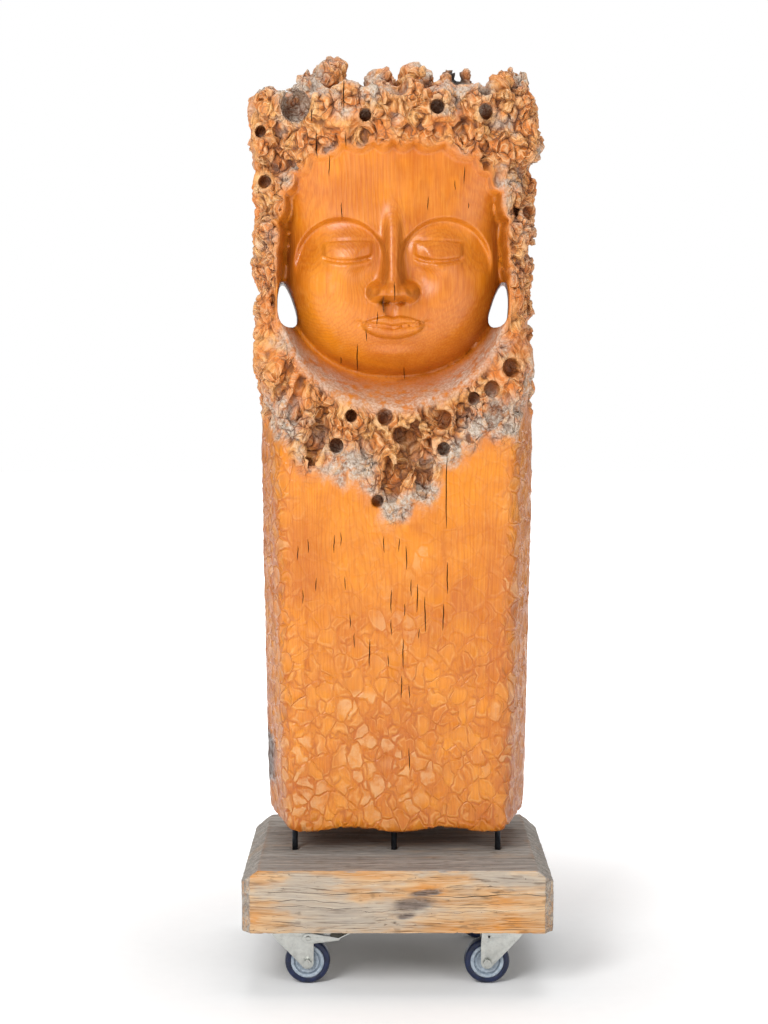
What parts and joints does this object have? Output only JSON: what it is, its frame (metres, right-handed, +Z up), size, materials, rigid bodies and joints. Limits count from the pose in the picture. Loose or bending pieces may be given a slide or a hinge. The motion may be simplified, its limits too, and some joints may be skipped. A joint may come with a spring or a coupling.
{
  "type": "carved wooden guanyin statue on a rolling plinth",
  "caption": "Tall carved trunk with a serene face, craggy hair and collar, held on thin rods over a timber plinth with swivel casters",
  "frame": {"origin": "on the floor under the middle of the plinth", "axes": "+Z up, the face looks along -Y, +X is the viewer's right"},
  "size_m": [0.512, 0.4, 1.5392],
  "materials": {
    "statue_wood": "orange stain under a worn semi-gloss varnish, with pale wear on the tool facets, grey dust in the hollows and fine drying checks",
    "plinth_wood": "old weathered timber, greyed on top, with knots, long shakes and orange stain left on the front",
    "dark_steel": "dark rod with a dull oxide skin",
    "zinc": "bright zinc plate on pressed steel",
    "yellow_zinc": "yellow passivated zinc plate",
    "navy_tyre": "smooth navy polyurethane",
    "grey_core": "pale blue-grey moulded core"
  },
  "bodies": {
    "stand": {"statue": "statue_wood", "plinth": "plinth_wood", "rod_1": "dark_steel", "rod_2": "dark_steel", "rod_3": "dark_steel", "rod_4": "dark_steel", "rod_5": "dark_steel", "caster_front_left_plate": "zinc", "caster_front_left_race": "yellow_zinc", "caster_front_left_kingpin": "zinc", "caster_front_right_plate": "zinc", "caster_front_right_race": "yellow_zinc", "caster_front_right_kingpin": "zinc", "caster_rear_left_plate": "zinc", "caster_rear_left_race": "yellow_zinc", "caster_rear_left_kingpin": "zinc", "caster_rear_right_plate": "zinc", "caster_rear_right_race": "yellow_zinc", "caster_rear_right_kingpin": "zinc"},
    "front_left_fork": {"caster_front_left_fork": "zinc", "caster_front_left_axle": "zinc", "caster_front_left_pedal_pin": "zinc"},
    "front_left_wheel": {"caster_front_left_tyre": "navy_tyre", "caster_front_left_hub": "grey_core"},
    "front_left_pedal": {"caster_front_left_pedal": "zinc"},
    "front_right_fork": {"caster_front_right_fork": "zinc", "caster_front_right_axle": "zinc"},
    "front_right_wheel": {"caster_front_right_tyre": "navy_tyre", "caster_front_right_hub": "grey_core"},
    "rear_left_fork": {"caster_rear_left_fork": "zinc", "caster_rear_left_axle": "zinc"},
    "rear_left_wheel": {"caster_rear_left_tyre": "navy_tyre", "caster_rear_left_hub": "grey_core"},
    "rear_right_fork": {"caster_rear_right_fork": "zinc", "caster_rear_right_axle": "zinc"},
    "rear_right_wheel": {"caster_rear_right_tyre": "navy_tyre", "caster_rear_right_hub": "grey_core"}
  },
  "joints": [
    {"name": "front_left_swivel", "type": "hinge", "parent": "stand", "child": "front_left_fork", "pos_m": [-0.185, -0.125, 0.05], "axis": [0, 0, 1], "continuous": true},
    {"name": "front_left_roll", "type": "hinge", "parent": "front_left_fork", "child": "front_left_wheel", "pos_m": [-0.149, -0.125, 0.0375], "axis": [0, 1, 0], "continuous": true},
    {"name": "front_left_pedal_press", "type": "hinge", "parent": "front_left_fork", "child": "front_left_pedal", "pos_m": [-0.1476, -0.125, 0.079], "axis": [0, 1, 0], "range_deg": [0, 14]},
    {"name": "front_right_swivel", "type": "hinge", "parent": "stand", "child": "front_right_fork", "pos_m": [0.185, -0.125, 0.05], "axis": [0, 0, 1], "continuous": true},
    {"name": "front_right_roll", "type": "hinge", "parent": "front_right_fork", "child": "front_right_wheel", "pos_m": [0.149, -0.125, 0.0375], "axis": [0, 1, 0], "continuous": true},
    {"name": "rear_left_swivel", "type": "hinge", "parent": "stand", "child": "rear_left_fork", "pos_m": [-0.185, 0.125, 0.05], "axis": [0, 0, 1], "continuous": true},
    {"name": "rear_left_roll", "type": "hinge", "parent": "rear_left_fork", "child": "rear_left_wheel", "pos_m": [-0.149, 0.125, 0.0375], "axis": [0, 1, 0], "continuous": true},
    {"name": "rear_right_swivel", "type": "hinge", "parent": "stand", "child": "rear_right_fork", "pos_m": [0.185, 0.125, 0.05], "axis": [0, 0, 1], "continuous": true},
    {"name": "rear_right_roll", "type": "hinge", "parent": "rear_right_fork", "child": "rear_right_wheel", "pos_m": [0.149, 0.125, 0.0375], "axis": [0, 1, 0], "continuous": true}
  ]
}
